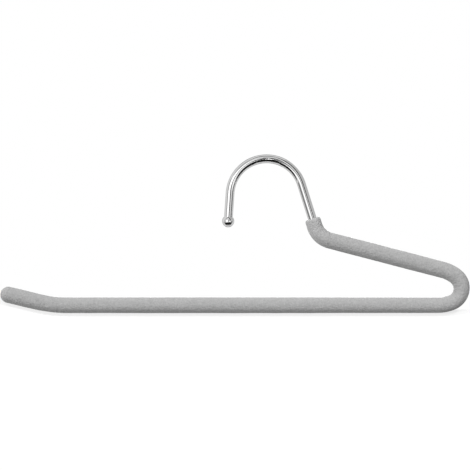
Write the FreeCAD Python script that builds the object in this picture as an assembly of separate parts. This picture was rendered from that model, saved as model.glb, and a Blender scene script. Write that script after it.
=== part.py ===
import FreeCAD, Part
import os
from math import cos, radians, sin, sqrt

# Open-ended trouser hanger: one bent steel rod with a hook, in a thick soft sleeve.
# Millimetres and degrees, +Z up, +X towards the closed bend, the front faces -Y.
# The origin is the point inside the top of the hook that rests on a rail.
# The rod's centre line lies in the plane of X and Z.

# Rod and hook
rod_diameter = 6.4
rod_end_round = 0.5
hook_radius = 26.5
tail_tilt = 3.9
tail_length = 20.5
leg_tilt = 17.5
leg_bare_length = 26.25

# Bends of the sleeved stretch, from the neck to the free end
neck_length = 5.55
neck_radius = 15.5
arm_slope = 14.55
arm_length = 84.3
ease_radius = 26.1
ease_turn = 24.3
bend_radius = 10.9
bar_length = 268.0
tip_radius = 96.5
tip_rise = 13.5
tip_length = 13.0

# Ball on the hook's free end
ball_wall = 1.3
ball_seat_share = 0.3
ball_lip_share = 0.2

# Sleeve, its felted skin and the cap on the rod's cut end
foam_wall = 1.95
foam_rim_round = 0.6
flock_thickness = 0.55
cap_length = 8.0
bond_gap = 0.05

# Sizes that follow from those above
rod_radius = rod_diameter / 2
bore_radius = rod_radius + bond_gap
foam_radius = bore_radius + foam_wall
lining_radius = foam_radius + bond_gap
sleeve_radius = lining_radius + flock_thickness
ball_radius = rod_radius + ball_wall
right_angle = 90
half_turn = 180
full_turn = 360


class BentLine:
    """A flat line of straights and tangent arcs, drawn the way a rod is fed and bent."""

    def __init__(self, point, heading):
        self.point = point
        self.heading = heading
        self.edges = []

    def direction(self):
        angle = radians(self.heading)
        return FreeCAD.Vector(cos(angle), 0, sin(angle))

    def ahead(self, length):
        return self.point + self.direction() * length

    def straight(self, length):
        end = self.ahead(length)
        self.edges.append(Part.LineSegment(self.point, end).toShape())
        self.point = end

    def bend(self, radius, turn):
        """Turn by some degrees, positive to the left as seen from the front."""
        side = radius if turn > 0 else -radius
        left = FreeCAD.Vector(-self.direction().z, 0, self.direction().x)
        centre = self.point + left * side
        spoke = self.point - centre
        axis = FreeCAD.Vector(0, -1, 0)
        middle = centre + FreeCAD.Rotation(axis, turn / 2).multVec(spoke)
        end = centre + FreeCAD.Rotation(axis, turn).multVec(spoke)
        self.edges.append(Part.Arc(self.point, middle, end).toShape())
        self.point = end
        self.heading += turn


def swept(line, start, heading, radius):
    """Round bar along a line's edges, which begin at start in the direction heading."""
    ring = Part.Wire(Part.makeCircle(radius, start, heading))
    return Part.Wire(line).makePipeShell([ring], True, False)


def rounded(solid, centres, radius):
    """Round the circular edges whose centres are given."""
    touch = bond_gap / 2
    chosen = []
    for edge in solid.Edges:
        if any((edge.CenterOfMass - centre).Length < touch for centre in centres):
            chosen.append(edge)
    return solid.makeFillet(radius, chosen)


def hook_apex():
    return FreeCAD.Vector(0, 0, rod_radius)


def tail_line():
    """From the top of the hook down its free leg to the ball's centre."""
    line = BentLine(hook_apex(), half_turn)
    line.bend(hook_radius, right_angle - tail_tilt)
    line.straight(tail_length)
    return line


def leg_line():
    """From the top of the hook down its other leg to the sleeve's rim."""
    line = BentLine(hook_apex(), 0)
    line.bend(hook_radius, leg_tilt - right_angle)
    line.straight(leg_bare_length)
    return line


def sleeved_line(setback):
    """From a setback below the sleeve's rim to the back of the end cap."""
    leg = leg_line()
    line = BentLine(leg.ahead(setback), leg.heading)
    line.straight(neck_length - setback)
    line.bend(neck_radius, right_angle - leg_tilt - arm_slope)
    line.straight(arm_length)
    line.bend(ease_radius, -ease_turn)
    line.bend(bend_radius, arm_slope + 2 * ease_turn - half_turn)
    line.bend(ease_radius, -ease_turn)
    line.straight(bar_length)
    line.bend(tip_radius, -tip_rise)
    line.straight(tip_length)
    return line


def ball_seat_depth():
    """How far past the ball's centre its socket goes."""
    return ball_seat_share * sqrt(ball_radius ** 2 - bore_radius ** 2)


def frame_rod():
    """The whole bent rod, from inside the ball to inside the end cap."""
    tail = tail_line()
    tail.straight(ball_seat_depth() - bond_gap)
    body = sleeved_line(0)
    body.straight(cap_length)
    line = tail.edges[::-1] + leg_line().edges + body.edges
    rod = swept(line, tail.point, tail.direction(), rod_radius)
    return rounded(rod, [tail.point, body.point], rod_end_round)


def hook_ball():
    """Ball with a blind socket for the rod and a narrow flat lip round the socket's mouth."""
    tail = tail_line()
    out_of_mouth = tail.direction() * -1
    ball = Part.makeSphere(ball_radius, tail.point)
    lip_radius = bore_radius + ball_lip_share * (ball_radius - bore_radius)
    lip_height = sqrt(ball_radius ** 2 - lip_radius ** 2)
    above_lip = Part.makeCylinder(ball_radius, ball_radius, tail.ahead(-lip_height), out_of_mouth)
    seat = tail.ahead(ball_seat_depth())
    socket = Part.makeCylinder(bore_radius, ball_radius + ball_seat_depth(), seat, out_of_mouth)
    return ball.cut(above_lip).cut(socket)


def domed(line, radius):
    """Half ball that closes a sleeve's free end."""
    return Part.makeSphere(radius, line.point, line.direction(), 0, right_angle, full_turn)


def sleeve_form(radius, setback, rim_round, closed):
    """Solid of one layer of the sleeve, with a rounded rim at the neck and an open or domed free end."""
    line = sleeved_line(setback)
    start = leg_line().ahead(setback)
    if closed:
        line.straight(cap_length)
    form = swept(line.edges, start, leg_line().direction(), radius)
    form = rounded(form, [start], rim_round)
    if closed:
        form = form.fuse(domed(line, radius)).removeSplitter()
    return form


def rod_space():
    """The rod and its bond gap, from the hook's leg to the rod's cut end."""
    leg = leg_line()
    body = sleeved_line(0)
    body.straight(cap_length)
    return swept(leg.edges + body.edges, hook_apex(), FreeCAD.Vector(1, 0, 0), bore_radius)


def foam_sleeve():
    """Soft tube from just under the skin at the neck to the end cap."""
    setback = flock_thickness + bond_gap
    return sleeve_form(foam_radius, setback, foam_rim_round, False).cut(rod_space())


def end_cap():
    """Domed cap whose socket takes the rod's cut end."""
    line = sleeved_line(0)
    back = line.ahead(bond_gap)
    along = line.direction()
    skirt = Part.makeCylinder(foam_radius, cap_length - bond_gap, back, along)
    socket = Part.makeCylinder(bore_radius, cap_length, back, along)
    line.straight(cap_length)
    return skirt.fuse(domed(line, foam_radius)).removeSplitter().cut(socket)


def flock_skin():
    """Thin felted layer over foam and cap, turned in at the neck as far as the rod."""
    lining_rim = foam_rim_round + bond_gap
    outside = sleeve_form(sleeve_radius, 0, lining_rim + flock_thickness, True)
    inside = sleeve_form(lining_radius, flock_thickness, lining_rim, True)
    return outside.cut(inside).cut(rod_space())


pieces = {
    "frame_rod": frame_rod,
    "hook_ball": hook_ball,
    "foam_sleeve": foam_sleeve,
    "end_cap": end_cap,
    "flock_skin": flock_skin,
}

os.makedirs("parts", exist_ok=True)
for name, make in pieces.items():
    solid = make()
    solid.exportStep("parts/" + name + ".step")
    print(name, "solids", len(solid.Solids), "valid", solid.isValid(), "volume", round(solid.Volume, 1))
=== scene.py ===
from math import ceil, cos, pi, radians, sin, sqrt, tau

import bmesh
import bpy
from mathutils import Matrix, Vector, noise


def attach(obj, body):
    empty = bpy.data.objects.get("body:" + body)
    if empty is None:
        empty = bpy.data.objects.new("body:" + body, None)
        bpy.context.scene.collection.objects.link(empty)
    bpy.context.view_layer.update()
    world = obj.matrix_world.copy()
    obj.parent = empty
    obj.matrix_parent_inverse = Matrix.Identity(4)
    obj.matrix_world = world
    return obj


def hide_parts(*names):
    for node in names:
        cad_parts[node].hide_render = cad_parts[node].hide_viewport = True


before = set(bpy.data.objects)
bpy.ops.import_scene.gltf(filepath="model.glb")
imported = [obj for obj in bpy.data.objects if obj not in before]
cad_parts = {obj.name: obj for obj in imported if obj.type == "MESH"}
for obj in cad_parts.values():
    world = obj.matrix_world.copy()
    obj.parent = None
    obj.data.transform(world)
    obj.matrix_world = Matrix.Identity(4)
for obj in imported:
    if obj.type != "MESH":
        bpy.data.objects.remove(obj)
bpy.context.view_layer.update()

# Open-ended trouser hanger: a chromed rod with a ball-ended hook, in a thick felted sleeve.
# Metres and degrees, +Z up, +X towards the closed bend, the front faces -Y.
# The origin is the point inside the top of the hook that rests on a rail.

# Degrees
right_angle = 90
half_turn = 180

# Radians
quarter_turn = pi / 2

# Rod and hook
rod_radius = 0.0032
rod_end_round = 0.0005
hook_radius = 0.0265
tail_tilt = 3.9
tail_length = 0.0205
leg_tilt = 17.5
leg_bare_length = 0.02625

# Bends of the sleeved stretch, from the neck to the free end
neck_length = 0.00555
neck_radius = 0.0155
arm_slope = 14.55
arm_length = 0.0843
ease_radius = 0.0261
ease_turn = 24.3
bend_radius = 0.0109
bar_length = 0.268
tip_radius = 0.0965
tip_rise = 13.5
tip_length = 0.013
cap_length = 0.008

# Layers of the sleeve
bond_gap = 0.00005
foam_wall = 0.00195
foam_rim_round = 0.0006
flock_thickness = 0.00055
bore_radius = rod_radius + bond_gap
foam_radius = bore_radius + foam_wall
lining_radius = foam_radius + bond_gap
sleeve_radius = lining_radius + flock_thickness

# Rounded lip of the sleeve at the neck
lining_rim_round = foam_rim_round + bond_gap
lip_round = 0.0016
lip_dip = 0.00045
lip_rise = 0.0003

# Ball on the hook's free end
ball_radius = 0.0045
ball_lip_radius = 0.0035
ball_lip_height = sqrt(ball_radius ** 2 - ball_lip_radius ** 2)
ball_seat_share = 0.3
ball_seat_depth = ball_seat_share * sqrt(ball_radius ** 2 - bore_radius ** 2)
rod_seat_depth = ball_seat_depth - bond_gap

# Relief of the felt: broad lumps, clumps of pile and single tufts, and how far each stands out
lump_size, lump_height = 0.016, 0.0001
clump_size, clump_height = 0.0034, 0.00004
tuft_size, tuft_height = 0.0016, 0.00005

# Drift of the sleeve from its nominal radius, at shares of its length
swell_shares = (0, 0.035, 0.15, 0.262, 0.3, 0.42, 0.6, 0.92, 0.97, 1)
swells = (-0.00016, 0.00008, 0.00017, 0.00013, -0.00031, -0.00025, -0.00014, -0.0002, 0.00013, 0.00008)

# Creases that the foam gathers on the inside of a bend
crease_pitch = 0.0042
crease_depth = 0.00016
crease_reach = 0.004

# Cells of the foam, which only open inwards
cell_size, cell_depth = 0.0008, 0.00003

# Fineness of the meshes
sleeve_step, sleeve_sides = 0.00045, 76
lining_step = 0.006
foam_step, foam_sides = 0.002, 40
rod_step, rod_sides = 0.0009, 56
ball_sides, ball_rings = 64, 40
dip_steps, lip_steps = 4, 6
lining_rim_steps, foam_rim_steps, rod_end_steps = 4, 3, 4
sleeve_dome_steps, lining_dome_steps = 20, 8
widest_turn = radians(4)
crisp_edge = radians(40)

# Noise in the materials: how rough it is, and the range that most of it lies in
noise_roughness = 0.6
noise_low, noise_high = 0.3, 0.7

# Felt: broad patches and fine flecks, and the shades or roughness that they range over
patch_size = 0.004
patch_shades = (0.955, 1.045)
patch_roughness = (0.86, 1)
fleck_size = 0.001
fleck_shades = (0.388, 0.472)

# Painted light on the felt by its cut edge at the neck: how much paler it is painted, for how far, and
# where that has faded
painted_light_level = 1.11
painted_light_length = 0.011
painted_light_end = 0.021

# Felt: its hollows, nap and fibres, which are a little shorter along the sleeve, and its gloss
hollow_size, hollow_depth = 0.006, 0.0002
nap_size, nap_depth = 0.0013, 0.0007
fibre_size, fibre_depth = 0.0007, 0.0001
nap_squeeze = 1.15
felt_specular = 0.05
felt_diffuse_roughness = 0.5
felt_sheen = 0.3
felt_sheen_roughness = 0.3

# Chrome: smudges, and fine lines that run along the drawn rod and any way on the ball
chrome_levels = (0.6, 0.66)
chrome_roughness = (0.05, 0.1)
smudge_size = 0.009
line_size, line_depth, line_strength = 0.0004, 0.000004, 0.15
rod_line_squeeze = 0.02
ball_line_squeeze = 1

# Foam: its pores
pore_size, pore_depth, pore_strength = 0.0007, 0.0002, 0.8
foam_levels = (0.18, 0.4)
foam_roughness = 0.95

# Rubber of the end cap: a bloom on the surface, and the grain of the mould
bloom_size = 0.003
rubber_levels = (0.08, 0.16)
rubber_roughness = (0.55, 0.75)
grain_size, grain_depth, grain_strength = 0.0004, 0.00003, 0.4

# Picture: what it spans at the hanger's own depth, and the lens
view_centre = Vector((-0.0229, 0, -0.052))
view_width = 0.34036
lens_length = 120
sensor_width = 36

# Stage
white = (1, 1, 1, 1)
floor_depth = 0.25
floor_size = 3
floor_shown_level = 0.93
floor_bounce_level = 0.36
backdrop_lean = 52
backdrop_behind = 0.002
backdrop_front = 0.6
backdrop_past_bend = 0.3
backdrop_past_tip = 0.3
backdrop_level = 0.25
backdrop_glow = 0.74

# Lamps: azimuth, elevation, and the level that white facing them renders at
lamp_softness = 8
ambient_level = 0.23
lamps = {
    "lamp_front": (-40, 15, 0.46),
    "lamp_left": (-40, 45, 0.37),
    "lamp_right": (40, 45, 0.41),
    "lamp_back": (180, 20, 0.6),
}

# Studio cards that only reflections show: azimuths, elevations, and how bright each is
card_distance = 2
card_step = 8
cards = {
    "card_bright": ((-46, -5), (-4, 22), 1.9),
    "card_bright_low": ((-34, -7), (-22, -4), 1.7),
    "card_bright_low_right": ((5.5, 14), (-14, -4), 1.7),
    "card_dark": ((-1, 11), (1, 26), 0.15),
    "card_dark_low": ((2, 20), (-4, 2.2), 0.05),
    "card_strip": ((12, 22), (8, 30), 1.5),
    "card_dark_right": ((24, 50), (8, 58), 0.1),
    "card_right_low": ((14, 50), (-14, -4), 1.5),
    "card_low_left": ((-82, -7), (-66, -25), 0.02),
    "card_low_right": ((5.5, 82), (-66, -21), 0.02),
    "card_low_end": ((-48, 48), (-75, -66), 0.02),
    "card_low_front": ((-7, 5.5), (-66, -16), 0.02),
    "card_eye_left": ((-7, -0.3), (-16, -4.2), 0.02),
    "card_eye": ((-0.3, 1.3), (-16, -6), 4),
    "card_eye_right": ((1.3, 5.5), (-16, -4.2), 0.02),
    "card_side_low": ((52, 84), (-20, 0), 0.25),
    "card_dark_left": ((-70, -52), (0, 24), 0.4),
    "card_left_low": ((-95, -46), (-20, -9), 0.3),
    "card_top": ((-50, 46), (58, 80), 0.3),
    "card_upper_left": ((-60, -24), (26, 58), 0.6),
    "card_right_up": ((50, 110), (30, 60), 0.65),
    "card_right": ((52, 126), (4, 30), 0.72),
    "card_back_left": ((-152, -126), (-40, 55), 0.65),
    "card_back_right": ((126, 152), (-40, 55), 0.65),
    "card_back_top": ((152, 208), (25, 50), 0.25),
    "card_back_low": ((152, 208), (-50, -25), 0.25),
}


# Centre line

class Station:
    """A place on the centre line: how far along, where, which way, and how sharply it bends there."""

    def __init__(self, along, place, curve):
        x, z, heading = place
        self.along = along
        self.point = Vector((x, 0, z))
        self.ahead = Vector((cos(heading), 0, sin(heading)))
        self.left = Vector((-sin(heading), 0, cos(heading)))
        self.curve = curve


def straight(length):
    """A run's length, and how far it turns."""
    return length, 0


def bend(radius, turn):
    """A bend by some degrees, positive to the left as seen from the front."""
    return radius * radians(abs(turn)), radians(turn)


def moved(place, distance, curve):
    """The place that is some distance further along a straight or a bend."""
    x, z, heading = place
    if not curve:
        return x + distance * cos(heading), z + distance * sin(heading), heading
    turned = heading + distance * curve
    return x + (sin(turned) - sin(heading)) / curve, z - (cos(turned) - cos(heading)) / curve, turned


def followed(place, runs):
    """The place where a chain of straights and bends ends."""
    for length, turn in runs:
        place = moved(place, length, turn / length)
    return place


def traced(place, runs, step):
    """Stations along a chain of straights and bends, about one step apart."""
    stations = []
    along = 0
    for length, turn in runs:
        curve = turn / length
        count = max(ceil(length / step), ceil(abs(turn) / widest_turn))
        for i in range(count):
            part = length * i / count
            stations.append(Station(along + part, moved(place, part, curve), curve))
        place = moved(place, length, curve)
        along += length
    stations.append(Station(along, place, 0))
    return stations


def eased_curves(stations, reach):
    """Each station's bend, averaged over what lies within reach of it."""
    eased = []
    first = 0
    last = 0
    total = 0
    for station in stations:
        while last < len(stations) and stations[last].along <= station.along + reach:
            total += stations[last].curve
            last += 1
        while stations[first].along < station.along - reach:
            total -= stations[first].curve
            first += 1
        eased.append(total / (last - first))
    return eased


tail_runs = [bend(hook_radius, right_angle - tail_tilt), straight(tail_length)]
hook_runs = [
    straight(rod_seat_depth + tail_length),
    bend(hook_radius, tail_tilt - right_angle),
    bend(hook_radius, leg_tilt - right_angle),
    straight(leg_bare_length),
]
arm_runs = [
    straight(neck_length),
    bend(neck_radius, right_angle - leg_tilt - arm_slope),
    straight(arm_length),
    bend(ease_radius, -ease_turn),
    bend(bend_radius, arm_slope + 2 * ease_turn - half_turn),
    bend(ease_radius, -ease_turn),
]
bar_runs = [straight(bar_length), bend(tip_radius, -tip_rise), straight(tip_length)]
foam_runs = arm_runs + bar_runs
sleeve_runs = foam_runs + [straight(cap_length)]

ball_x, ball_z, ball_heading = followed((0, rod_radius, pi), tail_runs)
ball_place = (ball_x, ball_z, ball_heading - pi)
rod_place = moved(ball_place, -rod_seat_depth, 0)
neck_place = followed(rod_place, hook_runs)
bar_place = followed(neck_place, arm_runs)


# Skins round the centre line

class Hoop:
    """A ring round a station: its radius, how far it is moved along, and how its face leans ahead."""

    def __init__(self, station, radius, shift=0, lean=0, raised=None):
        self.station = station
        self.radius = radius
        self.shift = shift
        self.lean = lean
        self.raised = raised

    def point(self, angle):
        """The ring's point at an angle from the left side towards the back."""
        spoke = self.station.left * cos(angle) + Vector((0, sin(angle), 0))
        point = self.station.point + self.station.ahead * self.shift + spoke * self.radius
        if self.raised:
            face = spoke * cos(self.lean) + self.station.ahead * sin(self.lean)
            point += face * self.raised(self, point, angle)
        return point

    def unbent(self, angle):
        """Where that point lies with the rod pulled straight, for grain that follows the bends."""
        return self.radius * cos(angle), self.radius * sin(angle), self.station.along + self.shift


def quarter(steps):
    """Angles over a quarter turn in equal steps, both ends included."""
    return [quarter_turn * i / steps for i in range(steps + 1)]


def rounded(radius, rounding, steps):
    """Radius, depth and angle at steps round an outer edge, from the flat face to the side."""
    edge = []
    for angle in quarter(steps):
        edge.append((radius - rounding * (1 - sin(angle)), rounding * (1 - cos(angle)), angle))
    return edge


def rows_of(hoops, sides):
    """For each hoop, the pairs of hoop and angle of its points; a hoop of no radius has one."""
    rows = []
    for hoop in hoops:
        count = sides if hoop.radius else 1
        rows.append([(hoop, tau * j / sides) for j in range(count)])
    return rows


def numbered(rows):
    """The points' numbers, row by row."""
    numbers = []
    count = 0
    for row in rows:
        numbers.append(range(count, count + len(row)))
        count += len(row)
    return numbers


def faces_between(first, second, sides):
    """Faces that join two neighbouring rows of point numbers."""
    faces = []
    for j in range(sides):
        k = (j + 1) % sides
        if len(first) == 1:
            faces.append((first[0], second[k], second[j]))
        elif len(second) == 1:
            faces.append((first[j], first[k], second[0]))
        else:
            faces.append((first[j], first[k], second[k], second[j]))
    return faces


def turn_outwards(mesh):
    """Makes all faces of a closed mesh face out."""
    work = bmesh.new()
    work.from_mesh(mesh)
    bmesh.ops.recalc_face_normals(work, faces=work.faces)
    work.to_mesh(mesh)
    work.free()


def skinned(name, hoops, sides, looped=False):
    """A closed smooth mesh through hoops, from a point to a point or round a loop."""
    rows = rows_of(hoops, sides)
    numbers = numbered(rows)
    joins = list(zip(numbers, numbers[1:]))
    if looped:
        joins.append((numbers[-1], numbers[0]))
    faces = []
    for first, second in joins:
        faces.extend(faces_between(first, second, sides))
    places = [pair for row in rows for pair in row]
    mesh = bpy.data.meshes.new(name)
    mesh.from_pydata([hoop.point(angle) for hoop, angle in places], [], faces)
    turn_outwards(mesh)
    mesh.shade_smooth()
    grain = mesh.attributes.new("unbent", "FLOAT_VECTOR", "POINT")
    for datum, (hoop, angle) in zip(grain.data, places):
        datum.vector = hoop.unbent(angle)
    piece = bpy.data.objects.new(name, mesh)
    bpy.context.collection.objects.link(piece)
    return piece


def dome_hoops(end, radius, steps, raised=None):
    """Hoops over the half ball that closes a free end, after its first ring."""
    hoops = []
    for angle in quarter(steps)[1:-1]:
        hoops.append(Hoop(end, radius * cos(angle), radius * sin(angle), angle, raised))
    hoops.append(Hoop(end, 0, radius, quarter_turn))
    return hoops


# Sleeve

def swell(share):
    """How far the sleeve drifts from its nominal radius at a share of its length."""
    for i, end in enumerate(swell_shares[1:]):
        if share <= end:
            start = swell_shares[i]
            ease = (1 - cos(pi * (share - start) / (end - start))) / 2
            return swells[i] + (swells[i + 1] - swells[i]) * ease
    return swells[-1]


def felt_height(point):
    """How far the felt stands out at a point."""
    lumps = noise.noise(point / lump_size) * lump_height
    clumps = noise.noise(point / clump_size) * clump_height
    tufts = noise.noise(point / tuft_size) * tuft_height
    return lumps + clumps + tufts


def crease_height(hoop, point, angle):
    """How far the felt is drawn in on the inside of a bend."""
    inside = max(0, cos(angle) * hoop.eased_curve * bend_radius)
    wander = noise.noise(point / lump_size)
    wave = sin(tau * (hoop.station.along / crease_pitch + wander))
    return crease_depth * inside * (wave - 1) / 2


def sleeve_height(hoop, point, angle):
    """How far the felt's outer face lies from the sleeve's nominal radius."""
    return swell(hoop.share) + felt_height(point) + crease_height(hoop, point, angle)


def lining_hoops():
    """Hoops of the felt's inner face, from the free end back to the rod at the neck."""
    stations = traced(neck_place, sleeve_runs, lining_step)
    rim = stations[0]
    hoops = [Hoop(rim, bore_radius, flock_thickness)]
    for radius, depth, angle in rounded(lining_radius, lining_rim_round, lining_rim_steps):
        hoops.append(Hoop(rim, radius, flock_thickness + depth))
    past_rim = flock_thickness + lining_rim_round
    hoops += [Hoop(station, lining_radius) for station in stations if station.along > past_rim]
    hoops += dome_hoops(stations[-1], lining_radius, lining_dome_steps)
    return hoops[::-1]


def lip_hoops(rim):
    """Hoops over the lip, from a dip beside the rod over a crest and round to the outside."""
    hoops = []
    crest = sleeve_radius - lip_round
    for angle in quarter(dip_steps)[:-1]:
        radius = bore_radius + (crest - bore_radius) * sin(angle)
        shift = lip_dip * (1 - sin(angle)) - lip_rise * sin(angle)
        hoops.append(Hoop(rim, radius, shift, -quarter_turn, sleeve_height))
    for radius, depth, angle in rounded(sleeve_radius, lip_round, lip_steps):
        shift = depth - lip_rise * cos(angle)
        hoops.append(Hoop(rim, radius, shift, angle - quarter_turn, sleeve_height))
    return hoops


def flock_sleeve():
    """The felted skin: domed at the free end, turned over a soft lip at the neck."""
    stations = traced(neck_place, sleeve_runs, sleeve_step)
    outside = lip_hoops(stations[0])
    for station in stations:
        if station.along > lip_round:
            outside.append(Hoop(station, sleeve_radius, raised=sleeve_height))
    outside += dome_hoops(stations[-1], sleeve_radius, sleeve_dome_steps, sleeve_height)
    curves = dict(zip(stations, eased_curves(stations, crease_reach)))
    for hoop in outside:
        hoop.eased_curve = curves[hoop.station]
        hoop.share = hoop.station.along / stations[-1].along
    return skinned("flock_sleeve", lining_hoops() + outside, sleeve_sides)


def foam_height(hoop, point, angle):
    """How far the foam's open cells draw its face in."""
    return cell_depth * min(0, noise.noise(point / cell_size))


def foam_core():
    """The soft tube under the felt, open at both ends round the rod."""
    stations = traced(neck_place, foam_runs, foam_step)
    rim = stations[0]
    setback = flock_thickness + bond_gap
    hoops = []
    for radius, depth, angle in rounded(foam_radius, foam_rim_round, foam_rim_steps):
        hoops.append(Hoop(rim, radius, setback + depth, angle - quarter_turn, foam_height))
    past_rim = setback + foam_rim_round
    inner = [station for station in stations if station.along > past_rim]
    hoops += [Hoop(station, foam_radius, raised=foam_height) for station in inner]
    hoops += [Hoop(station, bore_radius) for station in inner[::-1]]
    hoops.append(Hoop(rim, bore_radius, setback))
    return skinned("foam_core", hoops, foam_sides, looped=True)


# Rod and ball

def chrome_rod():
    """The whole bent rod, from inside the ball to inside the end cap, with rounded ends."""
    stations = traced(rod_place, hook_runs + sleeve_runs, rod_step)
    first, last = stations[0], stations[-1]
    edge = rounded(rod_radius, rod_end_round, rod_end_steps)
    hoops = [Hoop(first, 0)]
    hoops += [Hoop(first, radius, depth) for radius, depth, angle in edge]
    for station in stations:
        if rod_end_round < station.along < last.along - rod_end_round:
            hoops.append(Hoop(station, rod_radius))
    hoops += [Hoop(last, radius, -depth) for radius, depth, angle in edge[::-1]]
    hoops.append(Hoop(last, 0))
    return skinned("chrome_rod", hoops, rod_sides)


def hook_ball():
    """Ball with a narrow flat lip round the mouth of the blind socket that takes the rod."""
    centre = Station(0, ball_place, 0)
    hoops = [Hoop(centre, 0, -ball_radius)]
    for i in range(1, ball_rings + 1):
        height = -cos(pi * i / ball_rings) * ball_radius
        if height < ball_lip_height:
            hoops.append(Hoop(centre, sqrt(ball_radius ** 2 - height ** 2), height))
    hoops.append(Hoop(centre, ball_lip_radius, ball_lip_height))
    hoops.append(Hoop(centre, bore_radius, ball_lip_height))
    hoops.append(Hoop(centre, bore_radius, -ball_seat_depth))
    hoops.append(Hoop(centre, 0, -ball_seat_depth))
    ball = skinned("hook_ball_turned", hoops, ball_sides)
    ball.data.set_sharp_from_angle(angle=crisp_edge)
    return ball


# Nodes of the materials

def set_inputs(tree, node, inputs):
    """Sets or links each of a node's inputs."""
    for name, value in inputs.items():
        if isinstance(value, bpy.types.NodeSocket):
            tree.links.new(value, node.inputs[name])
        else:
            node.inputs[name].default_value = value


def add(tree, kind, inputs, **settings):
    """A node with its settings and inputs."""
    node = tree.nodes.new(kind)
    for name, value in settings.items():
        setattr(node, name, value)
    set_inputs(tree, node, inputs)
    return node


def grey(level):
    """An opaque grey."""
    return level, level, level, 1


def unbent_place(tree):
    """Where a point lies with the rod pulled straight, the last number being how far along."""
    return add(tree, "ShaderNodeAttribute", {}, attribute_name="unbent").outputs["Vector"]


def squeezed(tree, place, squeeze):
    """Places on which spots come out shorter along the rod by a factor, or longer if it is below one."""
    inputs = {"Vector": place, "Scale": (1, 1, squeeze)}
    return add(tree, "ShaderNodeMapping", inputs).outputs["Vector"]


def speckle(tree, place, size, detail=1):
    """Noise whose spots are about the given size."""
    inputs = {"Vector": place, "Scale": 1 / size, "Detail": detail, "Roughness": noise_roughness}
    return add(tree, "ShaderNodeTexNoise", inputs).outputs["Fac"]


def ranged(tree, value, limits, results, **settings):
    """A value between two limits turned into one between two results."""
    inputs = {"Value": value}
    inputs["From Min"], inputs["From Max"] = limits
    inputs["To Min"], inputs["To Max"] = results
    return add(tree, "ShaderNodeMapRange", inputs, **settings).outputs["Result"]


def spread(tree, value, results):
    """Noise stretched over a range of values."""
    return ranged(tree, value, (noise_low, noise_high), results)


def tinted(tree, value, levels):
    """A value from nought to one turned into a grey between two levels."""
    ramp = add(tree, "ShaderNodeValToRGB", {"Fac": value})
    for element, level in zip(ramp.color_ramp.elements, levels):
        element.color = grey(level)
    return ramp.outputs["Color"]


def dented(tree, height, depth, strength=1, under=None):
    """A normal from a height map, over another normal if one is given."""
    inputs = {"Height": height, "Distance": depth, "Strength": strength}
    if under:
        inputs["Normal"] = under
    return add(tree, "ShaderNodeBump", inputs).outputs["Normal"]


def combined(tree, operation, first, second):
    """Two values joined by an operation."""
    return add(tree, "ShaderNodeMath", {0: first, 1: second}, operation=operation).outputs["Value"]


# Materials

def new_material(name):
    """An empty material with its shader."""
    material = bpy.data.materials.new(name)
    material.use_nodes = True
    tree = material.node_tree
    return material, tree, tree.nodes["Principled BSDF"]


def painted_light_at_neck(tree, place):
    """Painted light: how much paler the felt is painted by its cut edge at the neck, fading along the
    sleeve.
    """
    along = add(tree, "ShaderNodeSeparateXYZ", {"Vector": place}).outputs["Z"]
    return ranged(tree, along, (painted_light_length, painted_light_end), (painted_light_level, 1), interpolation_type="SMOOTHSTEP")


def felt_normal(tree, place):
    """Fibres on a nap, on broad shallow hollows."""
    brushed = squeezed(tree, place, nap_squeeze)
    hollows = dented(tree, speckle(tree, place, hollow_size), hollow_depth)
    nap = dented(tree, speckle(tree, brushed, nap_size), nap_depth, under=hollows)
    return dented(tree, speckle(tree, brushed, fibre_size), fibre_depth, under=nap)


def flock_material():
    """Short dense pile: a mottled mid grey with a soft sheen."""
    material, tree, shader = new_material("grey_flock")
    place = unbent_place(tree)
    patches = speckle(tree, place, patch_size, detail=3)
    flecks = spread(tree, speckle(tree, place, fleck_size, detail=2), fleck_shades)
    shade = combined(tree, "MULTIPLY", flecks, spread(tree, patches, patch_shades))
    # Painted light: the felt is painted paler by the neck, standing in for the brighter light that falls
    # there.
    shade = combined(tree, "MULTIPLY", shade, painted_light_at_neck(tree, place))
    set_inputs(tree, shader, {
        "Base Color": tinted(tree, shade, (0, 1)),
        "Roughness": spread(tree, patches, patch_roughness),
        "Normal": felt_normal(tree, place),
        "Specular IOR Level": felt_specular,
        "Diffuse Roughness": felt_diffuse_roughness,
        "Sheen Weight": felt_sheen,
        "Sheen Roughness": felt_sheen_roughness,
    })
    return material


def chrome_material(name, line_squeeze):
    """Bright plating over faint lines, with thin smudges."""
    material, tree, shader = new_material(name)
    place = unbent_place(tree)
    lines = speckle(tree, squeezed(tree, place, line_squeeze), line_size, detail=2)
    smudges = speckle(tree, place, smudge_size, detail=3)
    set_inputs(tree, shader, {
        "Base Color": tinted(tree, smudges, chrome_levels),
        "Roughness": spread(tree, smudges, chrome_roughness),
        "Normal": dented(tree, lines, line_depth, line_strength),
        "Metallic": 1,
    })
    return material


def foam_material():
    """Open-celled dark foam."""
    material, tree, shader = new_material("grey_foam")
    inputs = {"Vector": unbent_place(tree), "Scale": 1 / pore_size}
    pores = add(tree, "ShaderNodeTexVoronoi", inputs).outputs["Distance"]
    set_inputs(tree, shader, {
        "Base Color": tinted(tree, pores, foam_levels),
        "Normal": dented(tree, pores, pore_depth, pore_strength),
        "Roughness": foam_roughness,
    })
    return material


def rubber_material():
    """Moulded rubber with a fine bloom."""
    material, tree, shader = new_material("black_rubber")
    place = add(tree, "ShaderNodeTexCoord", {}).outputs["Object"]
    bloom = speckle(tree, place, bloom_size, detail=3)
    grain = speckle(tree, place, grain_size, detail=2)
    set_inputs(tree, shader, {
        "Base Color": tinted(tree, bloom, rubber_levels),
        "Roughness": spread(tree, bloom, rubber_roughness),
        "Normal": dented(tree, grain, grain_depth, grain_strength),
    })
    return material


# Materials of the stage

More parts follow.
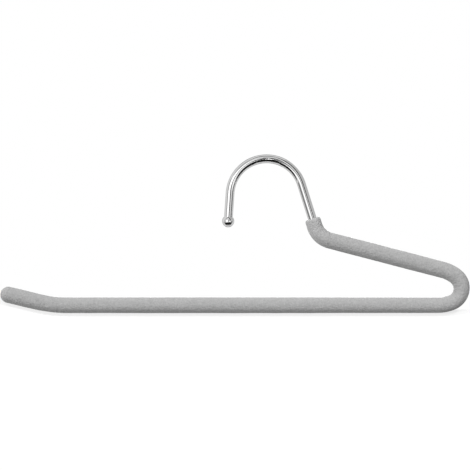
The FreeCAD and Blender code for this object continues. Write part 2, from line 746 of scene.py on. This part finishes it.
def shown_paths(tree):
    """One for rays from the camera and for reflections and refractions, which show the background."""
    rays = add(tree, "ShaderNodeLightPath", {}).outputs
    seen = combined(tree, "MAXIMUM", rays["Is Camera Ray"], rays["Is Glossy Ray"])
    return combined(tree, "MAXIMUM", seen, rays["Is Transmission Ray"])


def show(tree, surface):
    """Puts a shader on a material's surface."""
    set_inputs(tree, tree.nodes["Material Output"], {"Surface": surface})


def one_sided(tree, surface):
    """The shader on the front of a surface, with nothing to see from behind it."""
    behind = add(tree, "ShaderNodeNewGeometry", {}).outputs["Backfacing"]
    clear = add(tree, "ShaderNodeBsdfTransparent", {}).outputs["BSDF"]
    return add(tree, "ShaderNodeMixShader", {0: behind, 1: surface, 2: clear}).outputs["Shader"]


def stage_material(name):
    """A material that still lacks a shader."""
    material, tree, shader = new_material(name)
    tree.nodes.remove(shader)
    return material, tree


def backdrop_material():
    """White surface that keeps a light shadow."""
    material, tree = stage_material("white_backdrop")
    lit = add(tree, "ShaderNodeBsdfDiffuse", {"Color": grey(backdrop_level)}).outputs["BSDF"]
    glow = add(tree, "ShaderNodeEmission", {"Color": white, "Strength": backdrop_glow}).outputs["Emission"]
    both = add(tree, "ShaderNodeAddShader", {0: lit, 1: glow}).outputs["Shader"]
    show(tree, one_sided(tree, both))
    return material


def floor_material():
    """Pale to look at, and duller in the light that it throws back up."""
    material, tree = stage_material("pale_floor")
    # Inputs 6 and 7 of a colour mix are its two colours, and output 2 is what they give.
    inputs = {0: shown_paths(tree), 6: grey(floor_bounce_level), 7: grey(floor_shown_level)}
    colour = add(tree, "ShaderNodeMix", inputs, data_type="RGBA").outputs[2]
    lit = add(tree, "ShaderNodeBsdfDiffuse", {"Color": colour}).outputs["BSDF"]
    show(tree, one_sided(tree, lit))
    return material


def card_material(name, glow):
    """Even glow."""
    material, tree = stage_material(name)
    show(tree, add(tree, "ShaderNodeEmission", {"Color": white, "Strength": glow}).outputs["Emission"])
    return material


# Stage

def staged(name, points, faces, material):
    """A surface of the stage, which isn't part of the hanger."""
    mesh = bpy.data.meshes.new(name)
    mesh.from_pydata(points, [], faces)
    mesh.materials.append(material)
    surface = bpy.data.objects.new(name, mesh)
    bpy.context.collection.objects.link(surface)
    return surface


def direction(azimuth, elevation):
    """Direction from the hanger, with azimuth to the right of the camera."""
    a, e = radians(azimuth), radians(elevation)
    return Vector((sin(a) * cos(e), -cos(a) * cos(e), sin(e)))


def backdrop():
    """White sheet under the bar, sloping down to the front from a hidden edge. Only the camera sees it."""
    facing = direction(0, backdrop_lean)
    slope = direction(0, backdrop_lean - right_angle)
    runs = [straight(backdrop_past_bend), *bar_runs, straight(backdrop_past_tip)]
    line = traced(moved(bar_place, -backdrop_past_bend, 0), runs, lining_step)
    rests = [station.point - facing * sleeve_radius for station in line]
    back_edge = [rest - slope * backdrop_behind for rest in rests]
    front_edge = [rest + slope * backdrop_front for rest in rests]
    count = len(rests)
    faces = [(i, i + 1, count + i + 1, count + i) for i in range(count - 1)]
    surface = staged("backdrop", back_edge + front_edge, faces, backdrop_material())
    surface.visible_diffuse = False
    surface.visible_glossy = False
    surface.visible_transmission = False
    surface.visible_shadow = False


def floor():
    """Pale floor below the hanger. Reflections show the white surroundings in its place."""
    half = floor_size / 2
    corners = [(-half, -half), (half, -half), (half, half), (-half, half)]
    points = [(x, y, -floor_depth) for x, y in corners]
    surface = staged("floor", points, [(0, 1, 2, 3)], floor_material())
    surface.visible_glossy = False


def spaced(low, high, step):
    """Numbers from low to high, about one step apart."""
    count = ceil((high - low) / step)
    return [low + (high - low) * i / count for i in range(count + 1)]


def card(name, azimuths, elevations, glow):
    """A studio card that shows only in reflections, curved round the hook from one angle to another."""
    columns = spaced(*azimuths, card_step)
    rows = spaced(*elevations, card_step)
    points = [direction(azimuth, elevation) * card_distance for elevation in rows for azimuth in columns]
    wide = len(columns)
    faces = []
    for i in range(len(rows) - 1):
        for j in range(wide - 1):
            corner = i * wide + j
            faces.append((corner, corner + 1, corner + 1 + wide, corner + wide))
    surface = staged(name, points, faces, card_material(name, glow))
    surface.visible_camera = False
    surface.visible_diffuse = False
    surface.visible_shadow = False


def sun(name, azimuth, elevation, level):
    """A broad soft lamp, far away."""
    lamp = bpy.data.lights.new(name, "SUN")
    lamp.energy = level * pi
    lamp.angle = radians(lamp_softness)
    holder = bpy.data.objects.new(name, lamp)
    holder.rotation_mode = "QUATERNION"
    holder.rotation_quaternion = direction(azimuth, elevation).to_track_quat("Z", "Y")
    holder.visible_glossy = False
    bpy.context.collection.objects.link(holder)


def surroundings():
    """Even light from all round, on a background that shows as white."""
    world = bpy.data.worlds.new("studio")
    world.use_nodes = True
    tree = world.node_tree
    light = tree.nodes["Background"]
    set_inputs(tree, light, {"Color": white, "Strength": ambient_level})
    shown = add(tree, "ShaderNodeBackground", {"Color": white, "Strength": 1})
    inputs = {0: shown_paths(tree), 1: light.outputs["Background"], 2: shown.outputs["Background"]}
    mixed = add(tree, "ShaderNodeMixShader", inputs).outputs["Shader"]
    set_inputs(tree, tree.nodes["World Output"], {"Surface": mixed})
    bpy.context.scene.world = world


def camera():
    """Level camera in front of the hanger, far enough away for a nearly flat view."""
    data = bpy.data.cameras.new("camera")
    data.lens = lens_length
    data.sensor_width = sensor_width
    holder = bpy.data.objects.new("camera", data)
    holder.location = view_centre - Vector((0, view_width * lens_length / sensor_width, 0))
    holder.rotation_euler = (quarter_turn, 0, 0)
    bpy.context.collection.objects.link(holder)
    bpy.context.scene.camera = holder


# Pieces on the frame

def dress(piece, node, material):
    """Puts a piece in a node's place and material."""
    piece.data.materials.append(material)
    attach(piece, "root")
    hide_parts(node)


sleeve = flock_sleeve()
core = foam_core()
dress(sleeve, "flock_skin", flock_material())
dress(core, "foam_sleeve", foam_material())
dress(chrome_rod(), "frame_rod", chrome_material("chrome_plate", rod_line_squeeze))
dress(hook_ball(), "hook_ball", chrome_material("ball_chrome", ball_line_squeeze))

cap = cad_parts["end_cap"]
cap.data.materials.clear()
cap.data.materials.append(rubber_material())

backdrop()
floor()
for name, (azimuths, elevations, glow) in cards.items():
    card(name, azimuths, elevations, glow)
for name, (azimuth, elevation, level) in lamps.items():
    sun(name, azimuth, elevation, level)
surroundings()
camera()

bpy.context.scene.view_settings.view_transform = "Standard"
